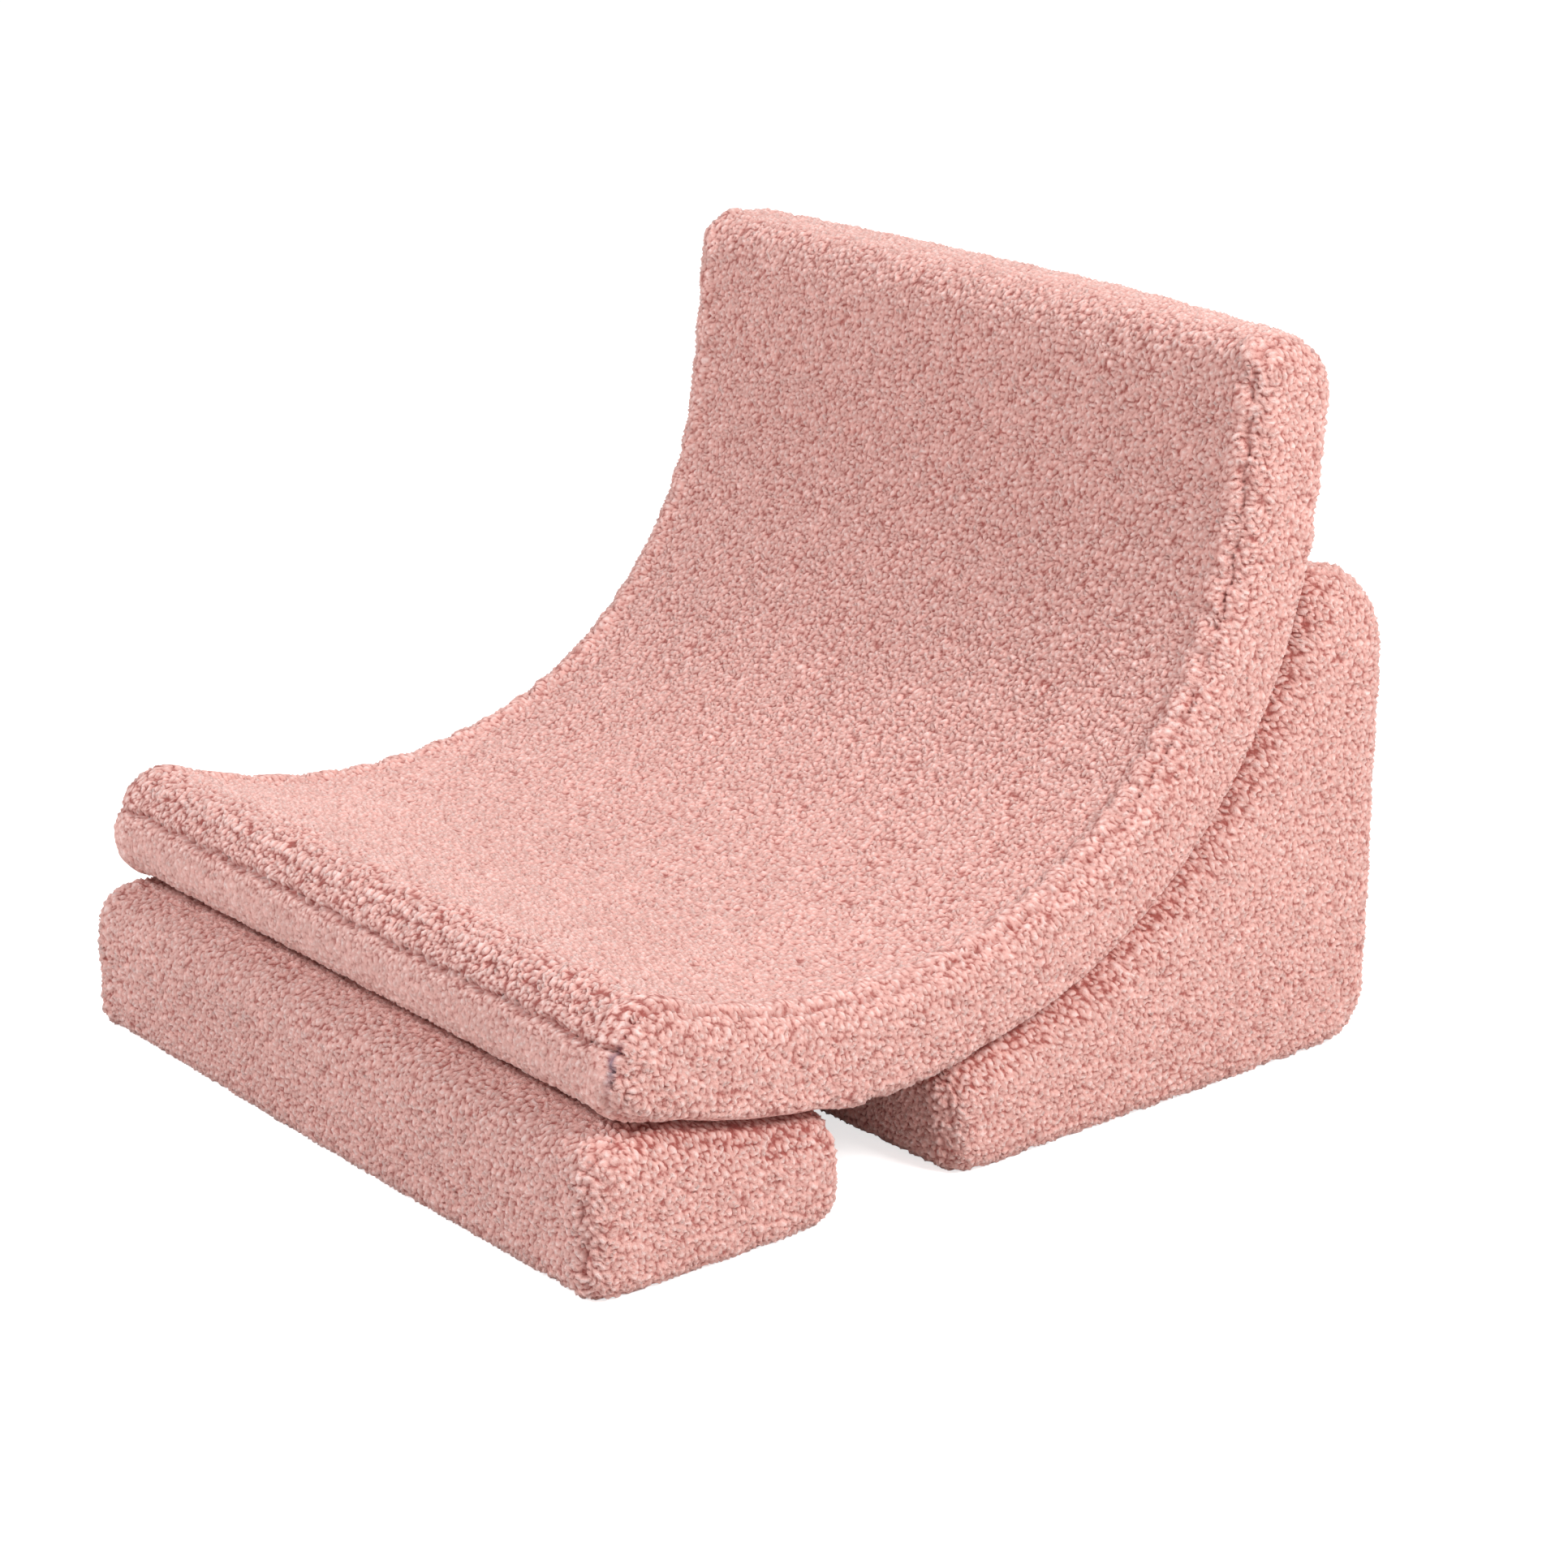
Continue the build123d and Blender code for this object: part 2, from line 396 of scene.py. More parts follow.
def weave_group() -> bpy.types.NodeTree:
    """Threads that cross each other, as a height and a mask of the gaps.

    Returns:
        The group.
    """
    tree, given, leaving = shader_group(
        "woven_threads",
        {"Place": ("Vector", None), "Across": ("Float", 900.0), "Along": ("Float", 700.0)},
        {"Height": "Float", "Gap": "Float"},
    )
    parts = tree.add("SeparateXYZ", {0: given["Place"]}).outputs
    sloped = tree.math("ADD", parts[1], parts[2])
    warp = tree.math("SINE", tree.math("MULTIPLY", parts[0], given["Across"]))
    weft = tree.math("SINE", tree.math("MULTIPLY", sloped, given["Along"]))
    height = tree.math("MULTIPLY_ADD", tree.math("MULTIPLY", warp, weft), 0.5, 0.5)
    tree.feed(leaving, {"Height": height, "Gap": tree.stretch(height, low=0.35, high=0.0)})
    return tree.tree


def wear_group() -> bpy.types.NodeTree:
    """A mask of worn edges, broken up by noise.

    Returns:
        The group.
    """
    tree, given, leaving = shader_group(
        "worn_edges",
        {"Place": ("Vector", None), "Amount": ("Float", 0.5)},
        {"Mask": "Float"},
    )
    edges = tree.add("NewGeometry").outputs["Pointiness"]
    broken = tree.math("MULTIPLY", tree.noise(given["Place"], scale=400, detail=3), 0.08)
    raised = tree.math("ADD", edges, broken)
    mask = tree.math("MULTIPLY", tree.stretch(raised, low=0.56, high=0.62), given["Amount"])
    tree.feed(leaving, {"Mask": mask})
    return tree.tree


class Groups:
    """The node groups that materials share, each built once."""

    made: dict[str, bpy.types.NodeTree] = {}
    recipes: dict[str, Callable[[], bpy.types.NodeTree]] = {
        "curl": curl_group,
        "weave": weave_group,
        "wear": wear_group,
    }

    @classmethod
    def get(cls, name: str) -> bpy.types.NodeTree:
        """The group of this name.

        Args:
            name: A key of the recipes.

        Returns:
            The group.
        """
        if name not in cls.made:
            cls.made[name] = cls.recipes[name]()
        return cls.made[name]


# Finishes


class Finish:
    """A material that is built when it is first used."""

    name = "finish"

    def dress(self, tree: Tree, shader: bpy.types.Node) -> None:
        """Adds the nodes that make the look.

        Args:
            tree: The material's nodes.
            shader: Its Principled BSDF.
        """

    def material(self) -> bpy.types.Material:
        """The finish as a material, built once.

        Returns:
            The material.
        """
        found = bpy.data.materials.get(self.name)
        if found:
            return found
        made = bpy.data.materials.new(self.name)
        made.use_nodes = True
        shader = made.node_tree.nodes["Principled BSDF"]
        self.dress(Tree(made.node_tree), shader)
        return made

    def put_on(self, piece: bpy.types.Object) -> None:
        """Gives the whole piece this finish.

        Args:
            piece: A new piece or a CAD node.
        """
        if piece.material_slots and piece.get("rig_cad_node"):
            for slot in piece.material_slots:
                slot.link = "OBJECT"
                slot.material = self.material()
        else:
            piece.data.materials.clear()
            piece.data.materials.append(self.material())


def relief(tree: Tree, shader: bpy.types.Node, height: object, depth: float, strength: float) -> None:
    """Feeds the shader's normal from a height, with its depth in metres."""
    bump = tree.add("Bump", {"Height": height, "Distance": depth, "Strength": strength})
    tree.tree.links.new(bump.outputs["Normal"], shader.inputs["Normal"])


@dataclass(frozen=True)
class PileFabric(Finish):
    """Curly pile: painted shade between the curls and a painted highlight at their tips, with a soft
    sheen.
    """

    name: str = "curly_pile_rose"
    # Painted shade colour, between the curls and along seams, slot and creases
    deep: tuple = linear(164, 88, 81)
    body: tuple = linear(232, 179, 170)
    # Painted highlight colour at the curls' tips
    painted_highlight: tuple = linear(250, 216, 210)
    backing: tuple = linear(134, 112, 128)
    sheen: tuple = linear(255, 226, 218)

    def dress(self, tree: Tree, shader: bpy.types.Node) -> None:
        """Reads the cover's curl attributes into colour with painted shade and highlights, and into
        relief.

        Args:
            tree: The material's nodes.
            shader: Its Principled BSDF.
        """
        # The seam attribute carries painted shade for the seam grooves, the zip's slot and the creases
        read = {
            name: tree.add("Attribute", attribute_name=name, attribute_type="GEOMETRY").outputs["Fac"]
            for name in ("curl", "tuft", "seam", "backing")
        }
        given = {
            "Place": tree.place(),
            "Height": read["curl"],
            "Tuft": read["tuft"],
            "Seam": read["seam"],
            "Deep": self.deep,
            "Body": self.body,
            "Tip": self.painted_highlight,
        }
        pile = tree.add("Group", given, node_tree=Groups.get("curl")).outputs
        look = {
            "Base Color": tree.mix(read["backing"], pile["Colour"], self.backing),
            "Roughness": 0.92,
            "Specular IOR Level": 0.15,
            "Sheen Weight": 0.22,
            "Sheen Roughness": 0.5,
            "Sheen Tint": self.sheen,
        }
        tree.feed(shader, look)
        relief(tree, shader, pile["Relief"], depth=0.0014, strength=0.9)


@dataclass(frozen=True)
class CutFoam(Finish):
    """Cut polyurethane foam: small open pores with painted shade, in cream."""

    name: str = "cut_foam_cream"
    wall: tuple = linear(236, 228, 206)
    aged: tuple = linear(228, 216, 186)
    # Painted shade inside the open pores
    painted_pore_shade: tuple = linear(176, 162, 132)

    def dress(self, tree: Tree, shader: bpy.types.Node) -> None:
        """Open pores, as painted shade and relief, in foam that has aged in clouds.

        Args:
            tree: The material's nodes.
            shader: Its Principled BSDF.
        """
        place = tree.place()
        cells = tree.add("TexVoronoi", {"Vector": place, "Scale": 700}).outputs["Distance"]
        open_pore = tree.stretch(cells, low=0.45, high=0.15)
        cloud = tree.stretch(tree.noise(place, scale=14, detail=3), low=0.3, high=0.75)
        wall = tree.mix(cloud, self.wall, self.aged)
        # Painted shade: the open pores take the darker colour
        tree.feed(shader, {"Base Color": tree.mix(open_pore, wall, self.painted_pore_shade), "Roughness": 0.95})
        relief(tree, shader, tree.math("SUBTRACT", 1.0, open_pore), depth=0.0006, strength=0.6)


@dataclass(frozen=True)
class WovenTape(Finish):
    """Zip tape: fine polyester weave."""

    name: str = "zip_tape_rose"
    thread: tuple = linear(205, 138, 134)
    faded: tuple = linear(218, 156, 150)
    # Painted shade in the gaps between the threads
    painted_gap_shade: tuple = linear(142, 84, 84)

    def dress(self, tree: Tree, shader: bpy.types.Node) -> None:
        """Crossing threads as relief, with painted shade in the gaps between them, faded a little in
        places.

        Args:
            tree: The material's nodes.
            shader: Its Principled BSDF.
        """
        place = tree.place()
        given = {"Place": place, "Across": 5200, "Along": 5200}
        weave = tree.add("Group", given, node_tree=Groups.get("weave")).outputs
        thread = tree.mix(tree.noise(place, scale=60, detail=3), self.thread, self.faded)
        # Painted shade: the gaps between the threads take the darker colour
        colour = tree.mix(weave["Gap"], thread, self.painted_gap_shade)
        tree.feed(shader, {"Base Color": colour, "Roughness": 0.8, "Sheen Weight": 0.2})
        relief(tree, shader, weave["Height"], depth=0.0003, strength=0.5)


@dataclass(frozen=True)
class MouldedCoil(Finish):
    """Zip coil and stops: smooth nylon with a faint mottle."""

    name: str = "zip_coil_rose"
    nylon: tuple = linear(196, 122, 118)
    pale: tuple = linear(214, 142, 136)

    def dress(self, tree: Tree, shader: bpy.types.Node) -> None:
        """A cloudy tone, with roughness that follows it.

        Args:
            tree: The material's nodes.
            shader: Its Principled BSDF.
        """
        place = tree.place()
        mottle = tree.noise(place, scale=300)
        colour = tree.mix(mottle, self.nylon, self.pale)
        rough = tree.math("MULTIPLY_ADD", mottle, 0.25, 0.28)
        tree.feed(shader, {"Base Color": colour, "Roughness": rough})
        grain = tree.noise(place, scale=2400, detail=1)
        relief(tree, shader, grain, depth=0.0001, strength=0.3)


@dataclass(frozen=True)
class EnamelledMetal(Finish):
    """Zip slider: rose enamel over zinc, worn at its edges."""

    name: str = "zip_slider_enamel"
    enamel: tuple = linear(188, 116, 112)
    metal: tuple = linear(176, 172, 168)

    def dress(self, tree: Tree, shader: bpy.types.Node) -> None:
        """Worn edges show metal, and the enamel has a slight orange peel.

        Args:
            tree: The material's nodes.
            shader: Its Principled BSDF.
        """
        place = tree.place()
        wear = tree.add("Group", {"Place": place, "Amount": 0.8}, node_tree=Groups.get("wear"))
        mask = wear.outputs["Mask"]
        colour = tree.mix(mask, self.enamel, self.metal)
        cloud = tree.noise(place, scale=900)
        rough = tree.math("MULTIPLY_ADD", cloud, 0.2, 0.25)
        tree.feed(shader, {"Base Color": colour, "Metallic": mask, "Roughness": rough})
        relief(tree, shader, cloud, depth=0.00008, strength=0.4)


@dataclass(frozen=True)
class StudioWhite(Finish):
    """Floor that the camera sees as white, and that keeps the shadow."""

    name: str = "studio_white"
    lift: float = 0.7

    def dress(self, tree: Tree, shader: bpy.types.Node) -> None:
        """Adds light of its own for camera, glossy and transmission rays only.

        Args:
            tree: The material's nodes.
            shader: Its Principled BSDF.
        """
        cloud = tree.noise(tree.place(), scale=3)
        look = {
            "Base Color": tree.mix(cloud, (0.78, 0.78, 0.78, 1), (0.82, 0.82, 0.82, 1)),
            "Emission Color": (1, 1, 1, 1),
            "Emission Strength": tree.math("MULTIPLY", tree.seen_directly(), self.lift),
            "Roughness": 0.9,
            "Specular IOR Level": 0.1,
        }
        tree.feed(shader, look)


# Curls of the pile


@dataclass(frozen=True)
class CurlPattern:
    """Curls of one size, each with its own place, stretch and tone."""

    size: float
    stretch: float = 2.2
    seed: int = SEED
    crown: float = 2.2  # how flat a curl is on top
    lowest: float = 0.75  # share of the full height that every curl has
    frayed: float = 0.16  # how much loose fibres change the height

    def grow(self, points: np.ndarray) -> tuple[np.ndarray, np.ndarray]:
        """Works out the curls over a set of points on a surface.

        Args:
            points: The points, in metres.

        Returns:
            Height from 0 between curls to 1 on a curl, and a tone from 0 to 1, at each point.
        """
        rng = np.random.default_rng(self.seed)
        cell = np.floor(points / self.size).astype(np.int64) + 1000
        key = (cell[:, 0] * 4096 + cell[:, 1]) * 4096 + cell[:, 2]
        keys, owner, count = np.unique(key, return_inverse=True, return_counts=True)
        owner = owner.ravel()
        pick = np.full(len(keys), 2.0)
        draw = rng.random(len(points))
        np.minimum.at(pick, owner, draw)
        chosen = draw == pick[owner]
        centres = np.zeros((len(keys), 3), np.float32)
        centres[owner[chosen]] = points[chosen]
        keep = count >= 3
        keys, centres = keys[keep], centres[keep]
        way = rng.normal(size=(len(keys), 3)).astype(np.float32)
        way /= np.linalg.norm(way, axis=1, keepdims=True)
        tone = rng.random(len(keys)).astype(np.float32)
        tall = (self.lowest + (1 - self.lowest) * rng.random(len(keys))).astype(np.float32)

        best = np.full(len(points), 9.0, np.float32)
        second = np.full(len(points), 9.0, np.float32)
        nearest = np.zeros(len(points), np.int64)
        for step in np.ndindex(3, 3, 3):
            shift = ((step[0] - 1) * 4096 + step[1] - 1) * 4096 + step[2] - 1
            at = np.searchsorted(keys, key + shift)
            at[at == len(keys)] = 0
            away = points - centres[at]
            along = np.einsum("ij,ij->i", away, way[at])
            far = np.einsum("ij,ij->i", away, away) * (1 + self.stretch) - self.stretch * along**2
            far[keys[at] != key + shift] = 9
            closer = far < best
            second = np.where(closer, best, np.minimum(second, far))
            nearest = np.where(closer, at, nearest)
            best = np.minimum(best, far)
        share = 2 * np.sqrt(best) / (np.sqrt(best) + np.sqrt(second) + 1e-9)
        dome = 1 - np.clip(share, 0, 1) ** self.crown
        loose = self.frayed * (rng.random(len(points)) - 0.5)
        return np.clip(dome * tall[nearest] + loose, 0, 1), tone[nearest]


# Zips


class Facing(Enum):
    """Which way a zip faces out of its cover."""

    DOWN = (0.0, 0.0, -1.0)
    BACK = (0.0, 1.0, 0.0)


@dataclass
class Zip:
    """A closed zip in its slot: two tapes, two rows of coil, end stops and a slider.

    Its own frame has X across the chair, Y along the cover and Z out of it, from the middle of the
    zip at the cover's surface.
    """

    element: str
    facing: Facing
    middle: Triple
    sides: tuple[str, str]
    half_length: float = 0.255
    tape_edge: float = 0.014
    tape_inner: float = 0.0009
    tape_depth: tuple[float, float] = (0.0048, 0.0056)
    coil_end: float = 0.241
    coil_reach: tuple[float, float] = (0.0007, 0.0032)
    coil_depth: tuple[float, float] = (0.0028, 0.0048)
    coil_play: float = 0.0001  # at each end of a row
    tooth_pitch: float = 0.0015
    tooth_share: float = 0.72  # width of a tooth as a share of the pitch
    tooth_bevel: float = 0.00028
    head_length: float = 0.0008
    head_swell: float = 1.25
    slider_span: tuple[float, float] = (0.229, 0.241)
    slider_half: float = 0.0046
    plates: tuple[tuple[float, float], ...] = ((-0.0010, -0.0022), (-0.0062, -0.0074))
    plate_corner: float = 0.0024
    waist: float = 0.12
    rail_width: float = 0.0008
    rail_inset: float = 0.0025
    rail_low: float = -0.0042
    neck_length: float = 0.004
    neck_half: float = 0.00045
    bridge_radius: float = 0.00055
    bridge_half: float = 0.0012
    bridge_place: tuple[float, float] = (0.0024, -0.0008)  # along the slider and outwards

    @property
    def matrix(self) -> Matrix:
        """From the zip's own frame to the chair's.

        Returns:
            The matrix.
        """
        out = Vector(self.facing.value)
        along = out.cross(Vector((1, 0, 0)))
        turn = Matrix(((1, 0, 0), along, out)).transposed().to_4x4()
        return Matrix.Translation(self.middle) @ turn

    def piece(
        self, name: str, bm: bmesh.types.BMesh, finish: Finish, slot: str, body: str, node: str
    ) -> bpy.types.Object:
        """Places a finished shape on its body.

        Args:
            name: Name of the piece.
            bm: Its shape, in the zip's own frame.
            finish: Its finish.
            slot: The record's slot of that finish; not used.
            body: The body it rides on.
            node: The CAD node it stands for.

        Returns:
            The piece.
        """
        bmesh.ops.recalc_face_normals(bm, faces=bm.faces)
        bm.transform(self.matrix)
        made = object_from(name, bm)
        made.data.set_sharp_from_angle(angle=math.radians(40))
        finish.put_on(made)
        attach(made, body)
        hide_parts(node)
        return made

    def tape(self, side: int, word: str) -> None:
        """One woven tape, slightly rippled.

        Args:
            side: 1 or -1, the side of the zip's middle that it is on.
            word: The CAD's word for that side.
        """
        bm = bmesh.new()
        high, low = -self.tape_depth[0], -self.tape_depth[1]
        near, far = sorted((side * self.tape_inner, side * self.tape_edge))
        block_at(bm, (-self.half_length, near, low), (self.half_length, far, high))
        crossing = [e for e in bm.edges if abs(e.verts[0].co.x - e.verts[1].co.x) > 0.1]
        bmesh.ops.subdivide_edges(bm, edges=crossing, cuts=60, use_grid_fill=True)
        width = [e for e in bm.edges if abs(e.verts[0].co.y - e.verts[1].co.y) > 0.01]
        bmesh.ops.subdivide_edges(bm, edges=width, cuts=8, use_grid_fill=True)
        for vert in bm.verts:
            ripple = math.sin(vert.co.x * 90 + side) * math.sin(vert.co.y * 260)
            vert.co.z += 0.00008 * ripple
        node = f"{self.element}_zip_tape_{word}"
        self.piece(node.replace("_zip", "_woven_zip"), bm, WovenTape(), "zip_tape", self.element, node)

    def coil(self, side: int, word: str) -> None:
        """One row of coil: rounded teeth with a bulging head, at an even pitch.

        Args:
            side: 1 or -1, the side of the zip's middle that it is on.
            word: The CAD's word for that side.
        """
        bm = bmesh.new()
        near, far = self.coil_reach
        low, high = -self.coil_depth[1], -self.coil_depth[0]
        wide = self.tooth_pitch * self.tooth_share
        start = -self.coil_end + self.coil_play
        block_at(bm, (start, near, low), (start + wide, far, high))
        bevel_edges(bm, bm.edges, self.tooth_bevel, 1)
        for vert in bm.verts:
            if vert.co.y < near + self.head_length:
                vert.co.x = start + wide / 2 + (vert.co.x - start - wide / 2) * self.head_swell
        if side < 0:
            bmesh.ops.mirror(bm, geom=bm.verts[:] + bm.edges[:] + bm.faces[:], axis="Y")
            inner = [v for v in bm.verts if v.co.y > 0]
            bmesh.ops.delete(bm, geom=inner, context="VERTS")
        tooth = object_from(f"{self.element}_tooth", bm)
        rows = tooth.modifiers.new("row", "ARRAY")
        rows.use_relative_offset = False
        rows.use_constant_offset = True
        rows.constant_offset_displace = (self.tooth_pitch, 0, 0)
        rows.count = int((2 * self.coil_end - 3 * self.coil_play - wide) / self.tooth_pitch) + 1
        applied(tooth)
        bm = bmesh.new()
        bm.from_mesh(tooth.data)
        bpy.data.objects.remove(tooth)
        node = f"{self.element}_zip_coil_{word}"
        self.piece(node.replace("_coil", "_teeth"), bm, MouldedCoil(), "zip_coil", self.element, node)

    def slider(self) -> None:
        """The slider: a waisted plate each side of the tape, rails, and a bridge on top."""
        bm = bmesh.new()
        low, high = self.slider_span
        half = self.slider_half
        for top, deep in self.plates:
            plate = block_at(bm, (low, -half, deep), (high, half, top))
            edges = {e for v in plate for e in v.link_edges}
            upright = [e for e in edges if abs(e.verts[0].co.z - e.verts[1].co.z) > 0.001]
            bevel_edges(bm, upright, self.plate_corner, 4)
        for vert in bm.verts:
            along = (vert.co.x - low) / (high - low)
            vert.co.y *= 1 - self.waist * math.exp(-((along - 0.25) ** 2) / 0.02)
        plate_under, plate_over = self.plates[0][1], self.plates[1][0]
        for side in (-1, 1):
            inner, outer = sorted((side * (half - self.rail_width), side * half))
            first, last = low + self.rail_inset, high - self.rail_inset
            block_at(bm, (first, inner, self.rail_low), (last, outer, plate_under))
        neck = high - self.neck_length
        block_at(bm, (neck, -self.neck_half, plate_over), (high, self.neck_half, plate_under))
        along, out = self.bridge_place
        place = Matrix.Translation((low + along, self.bridge_half, out))
        ring = bmesh.ops.create_circle(
            bm,
            segments=10,
            radius=self.bridge_radius,
            matrix=place @ Matrix.Rotation(math.pi / 2, 4, "X"),
            cap_ends=True,
        )
        edges = {e for v in ring["verts"] for e in v.link_edges}
        faces = {f for v in ring["verts"] for f in v.link_faces}
        bridge = bmesh.ops.extrude_face_region(bm, geom=list(edges) + list(faces) + ring["verts"])
        moved = [g for g in bridge["geom"] if isinstance(g, bmesh.types.BMVert)]
        bmesh.ops.translate(bm, verts=moved, vec=(0, -2 * self.bridge_half, 0))
        body = f"{self.element}_zip_slider"
        made = self.piece(f"{body}_enamelled", bm, EnamelledMetal(), "zip_metal", body, body)
        bevel = made.modifiers.new("rounded", "BEVEL")
        bevel.width = 0.0002
        bevel.segments = 2
        bevel.limit_method = "ANGLE"
        bevel.angle_limit = math.radians(50)

    def build(self) -> None:
        """Builds the whole zip."""
        for side, word in zip((1, -1), self.sides):
            self.tape(side, word)
            self.coil(side, word)
        stops = frame["nodes"][f"{self.element}_zip_end_stops"]
        MouldedCoil().put_on(stops)
        self.slider()
        log.info("%s zip: 2 tapes, 2 coil rows, end stops, slider", self.element)


# Padded elements


@dataclass
class CrossSeam:
    """A seam that runs across the chair through one point of the side view."""

    y: float
    z: float
    slope: float  # degrees from level, of the cover in the side view
    beyond: float = 0.0  # it starts this far from the middle
    depth: float = 0.0040
    lip: float = 0.0012  # the pile either side stands this much higher
    bulge: float = 0.0  # the stuffing pushes the cover out this far around it
    # ruffle also deepens the painted shade between the curls there
    ruffle: float = 0.0  # how much rougher the pile is above it than below

    def along(self, points: np.ndarray) -> np.ndarray:
        """Distance of each point from the seam along the cover, more than 0 above it.

        Args:
            points: The points.

        Returns:
            The distances, and 1 for points that are not on its face.
        """
        y, z = points[:, 1] - self.y, points[:, 2] - self.z
        turn = math.radians(self.slope)
        under = np.abs(z * math.cos(turn) - y * math.sin(turn))
        return np.where(under < 0.03, y * math.cos(turn) + z * math.sin(turn), 1.0)


@dataclass
class PaddedElement:
    """A foam core in a pile cover, with its seams, contact faces and zip slot."""

    name: str
    panels: tuple[str, ...]
    neighbours: tuple[str, ...]
    zip: Zip
    cross_seams: tuple[CrossSeam, ...] = ()
    gaps: tuple[tuple[float, float, float], ...] = ()  # places on a side seam that stand open
    seam_x: float = 0.290
    voxel: float = 0.0068
    cuts: int = 3
    shrink: float = 0.0012
    swell_cap: float = 0.003
    curl_size: float = 0.0047
    seam_curl_size: float = 0.0054
    curl_height: float = 0.0027
    proud: float = 0.0033  # the pile stands this far above the sewn form
    ridge: float = 0.0058  # how far the pile heaps up beside a side seam
    stitch: float = 0.8  # how deep the side seams are drawn in
    rounding: int = 70  # rounds of evening along the side seams
    tuck: float = 0.0  # edges that meet a neighbour are drawn in this far at the sides
    tuck_front: float = 0.0  # and this far at the front
    tuck_reach: float = 0.018  # and from this close to it
    overhang: float = 0.5  # further than this from the middle, the neighbours are drawn in
    eased: tuple[tuple[float, float, float, float], ...] = ()  # x sign, y, z, how far in
    rest_gap: float = 0.0003
    slot_half: float = 0.0069
    slot_floor: float = 0.0086
    plug: tuple[Triple, Triple] = ((-0.251, -0.0070, -0.012), (0.251, 0.0070, -0.0001))
    cloth_steps: int = 20
    mean_height: float = 0.42  # of a curl, which stays level with the sewn form
    clump_height: float = 0.0005
    groove_width: float = 0.0016
    groove_depth: float = 0.0026
    gap_depth: float = 0.0024  # added where a seam stands open
    gap_reach: float = 0.011
    hollows: float = 0.0020  # depth between curls that are pressed flat
    foam_voxel: float = 0.012
    foam_play: float = 0.001  # between the foam and the cover

    # Form

    def rough_form(self) -> bpy.types.Object:
        """The cover's closed form, from its CAD panels, with the zip's slot plugged.

        Returns:
            The cover with even faces.
        """
        bm = merged_copy([f"{self.name}_{panel}" for panel in self.panels] + [f"{self.name}_foam_core"])
        plug = bmesh.new()
        block_at(plug, *self.plug)
        plug.transform(self.zip.matrix)
        mesh = bpy.data.meshes.new("plug")
        plug.to_mesh(mesh)
        plug.free()
        bm.from_mesh(mesh)
        bpy.data.meshes.remove(mesh)
        return evenly_faced(object_from(f"{self.name}_cover", bm), self.voxel)

    def neighbour_tree(self) -> BVHTree:
        """The surfaces of the elements that this one rests on or carries.

        Returns:
            Their panels in one tree.
        """
        near = [node for node in frame["nodes"] if "panel" in node and node.startswith(self.neighbours)]
        bm = merged_copy(near)
        tree = BVHTree.FromBMesh(bm)
        bm.free()
        return tree

    def clearance(self, points: np.ndarray, tree: BVHTree, reach: float) -> np.ndarray:
        """How far each point is from the neighbours.

        Args:
            points: The points.
            tree: The neighbours' surfaces.
            reach: Distances past this read as this.

        Returns:
            The distances in metres, less than 0 inside a neighbour.
        """
        found = np.full(len(points), reach, np.float32)
        for index, point in enumerate(points.tolist()):
            spot, normal, _, far = tree.find_nearest(point, reach)
            if spot is not None:
                found[index] = far if (Vector(point) - spot).dot(normal) >= 0 else -far
        return found

    def swell(self, made: bpy.types.Object, hold: np.ndarray) -> None:
        """Lets the cover swell on its foam as cloth under pressure, and caps how far it goes.

        Args:
            made: The cover.
            hold: 0 where a point stays put to 1 where it is free.
        """
        start = triples(made.data.vertices, "co")
        cloth = made.modifiers.new("swell", "CLOTH")
        cloth.settings.quality = 4
        cloth.settings.mass = 0.3
        cloth.settings.tension_stiffness = 12
        cloth.settings.compression_stiffness = 12
        cloth.settings.use_pressure = True
        cloth.settings.uniform_pressure_force = 4
        cloth.settings.effector_weights.gravity = 0
        cloth.collision_settings.use_collision = False
        cloth.point_cache.frame_start = 1
        cloth.point_cache.frame_end = self.cloth_steps
        for step in range(self.cloth_steps):
            bpy.context.scene.frame_set(step + 1)
        graph = bpy.context.evaluated_depsgraph_get()
        swollen = made.evaluated_get(graph).to_mesh()
        moved = triples(swollen.vertices, "co") - start
        made.evaluated_get(graph).to_mesh_clear()
        made.modifiers.remove(cloth)
        bpy.context.scene.frame_set(1)
        length = np.linalg.norm(moved, axis=1, keepdims=True) + 1e-9
        moved *= np.minimum(length, self.swell_cap) / length
        move_points(made.data, start + moved * hold[:, None])
        furthest = float((np.minimum(length[:, 0], self.swell_cap) * hold).max())
        log.info("%s cover swelled up to %.1f mm", self.name, furthest * 1000)

    def side_distance(self, points: np.ndarray) -> np.ndarray:
        """Distance along the surface from the side seams, less than 0 on the side panels.

        Args:
            points: The points.

        Returns:
            The distances.
        """
        across = np.abs(points[:, 0]) - self.seam_x
        beyond_seam = [-0.3, 0, 0.0025, 0.005, 0.008, 0.010]
        along_cover = [-0.3, 0, 0.0035, 0.006, 0.011, 0.018]
        return -np.interp(across, beyond_seam, along_cover)

    def zip_distance(self, points: np.ndarray) -> tuple[np.ndarray, np.ndarray, np.ndarray]:
        """Place of each point in the zip's own frame.

        Args:
            points: The points.

        Returns:
            How far it is across the chair, along the cover and outwards.
        """
        turn = np.array(self.zip.matrix.inverted(), np.float32)
        local = points @ turn[:3, :3].T + turn[:3, 3]
        return local[:, 0], local[:, 1], local[:, 2]

